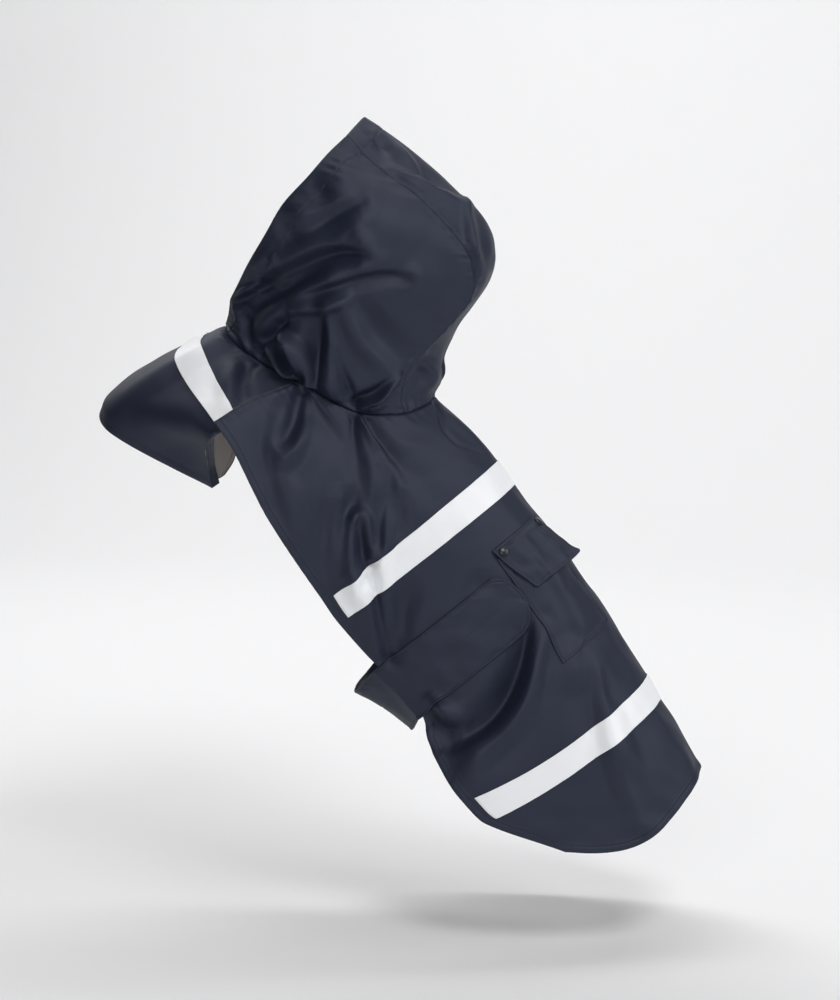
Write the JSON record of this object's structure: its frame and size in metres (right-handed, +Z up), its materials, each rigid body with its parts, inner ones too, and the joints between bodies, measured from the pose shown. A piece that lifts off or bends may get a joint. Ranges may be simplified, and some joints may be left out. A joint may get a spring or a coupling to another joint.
{
  "type": "dog raincoat",
  "caption": "Navy dog raincoat with a three-panel hood, chest bib, belly strap, flapped pocket and pale reflective tapes, in its worn form.",
  "frame": {"origin": "centre of the neck seam at the back, on the dog's withers, where the coat's weight rests", "axes": "+X towards the dog's tail, +Y towards the dog's right side, +Z up, with the dog sitting and facing -X"},
  "size_m": [0.6052, 0.2454, 0.7068],
  "materials": {
    "coated_cloth": "satin",
    "reflective_tape": "satin",
    "snap_cap": "gloss"
  },
  "bodies": {
    "root": {"back_panel": "coated_cloth", "chest_bib": "coated_cloth", "hood_side_left": "coated_cloth", "hood_side_right": "coated_cloth", "hood_gusset": "coated_cloth", "belly_strap": "coated_cloth", "pocket_patch": "coated_cloth", "pocket_flap": "coated_cloth", "tape_chest": "reflective_tape", "tape_upper": "reflective_tape", "tape_lower": "reflective_tape", "snap_left": "snap_cap", "snap_right": "snap_cap"}
  },
  "joints": []
}
